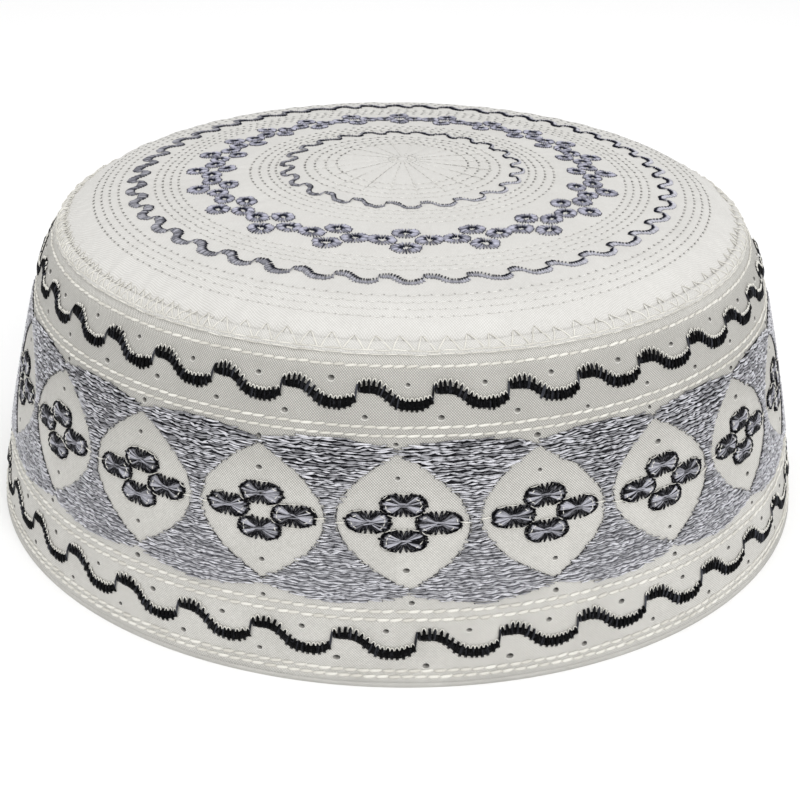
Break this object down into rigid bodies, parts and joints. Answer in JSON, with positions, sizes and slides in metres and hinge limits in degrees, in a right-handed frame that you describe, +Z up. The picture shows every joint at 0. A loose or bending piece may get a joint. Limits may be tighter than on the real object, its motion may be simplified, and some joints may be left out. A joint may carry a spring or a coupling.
{
  "type": "prayer cap",
  "caption": "Round prayer cap with a stiff tapered side band, a shallow domed crown, satin scallop trims and a filled field pierced by pointed-oval medallions; it stands on its rim.",
  "frame": {"origin": "middle of the rim's plane, which the cap stands on", "axes": "+Z up through the middle of the crown, -Y out of the front, +X to the wearer's left"},
  "size_m": [0.184, 0.184, 0.0736],
  "materials": {
    "ivory_cloth": "fine diagonal weave, matt",
    "black_thread": "satin stitch, soft sheen",
    "slate_thread": "satin stitch, soft sheen",
    "grey_thread": "fill stitch, soft sheen"
  },
  "bodies": {
    "root": {"side_band": "ivory_cloth", "crown_panel": "ivory_cloth", "seam_strip": "ivory_cloth", "hem_fold": "ivory_cloth", "medallion_field": "grey_thread", "upper_scallop": "black_thread", "lower_scallop": "black_thread", "crown_outer_scallop": "slate_thread", "crown_inner_scallop": "slate_thread"}
  },
  "joints": []
}
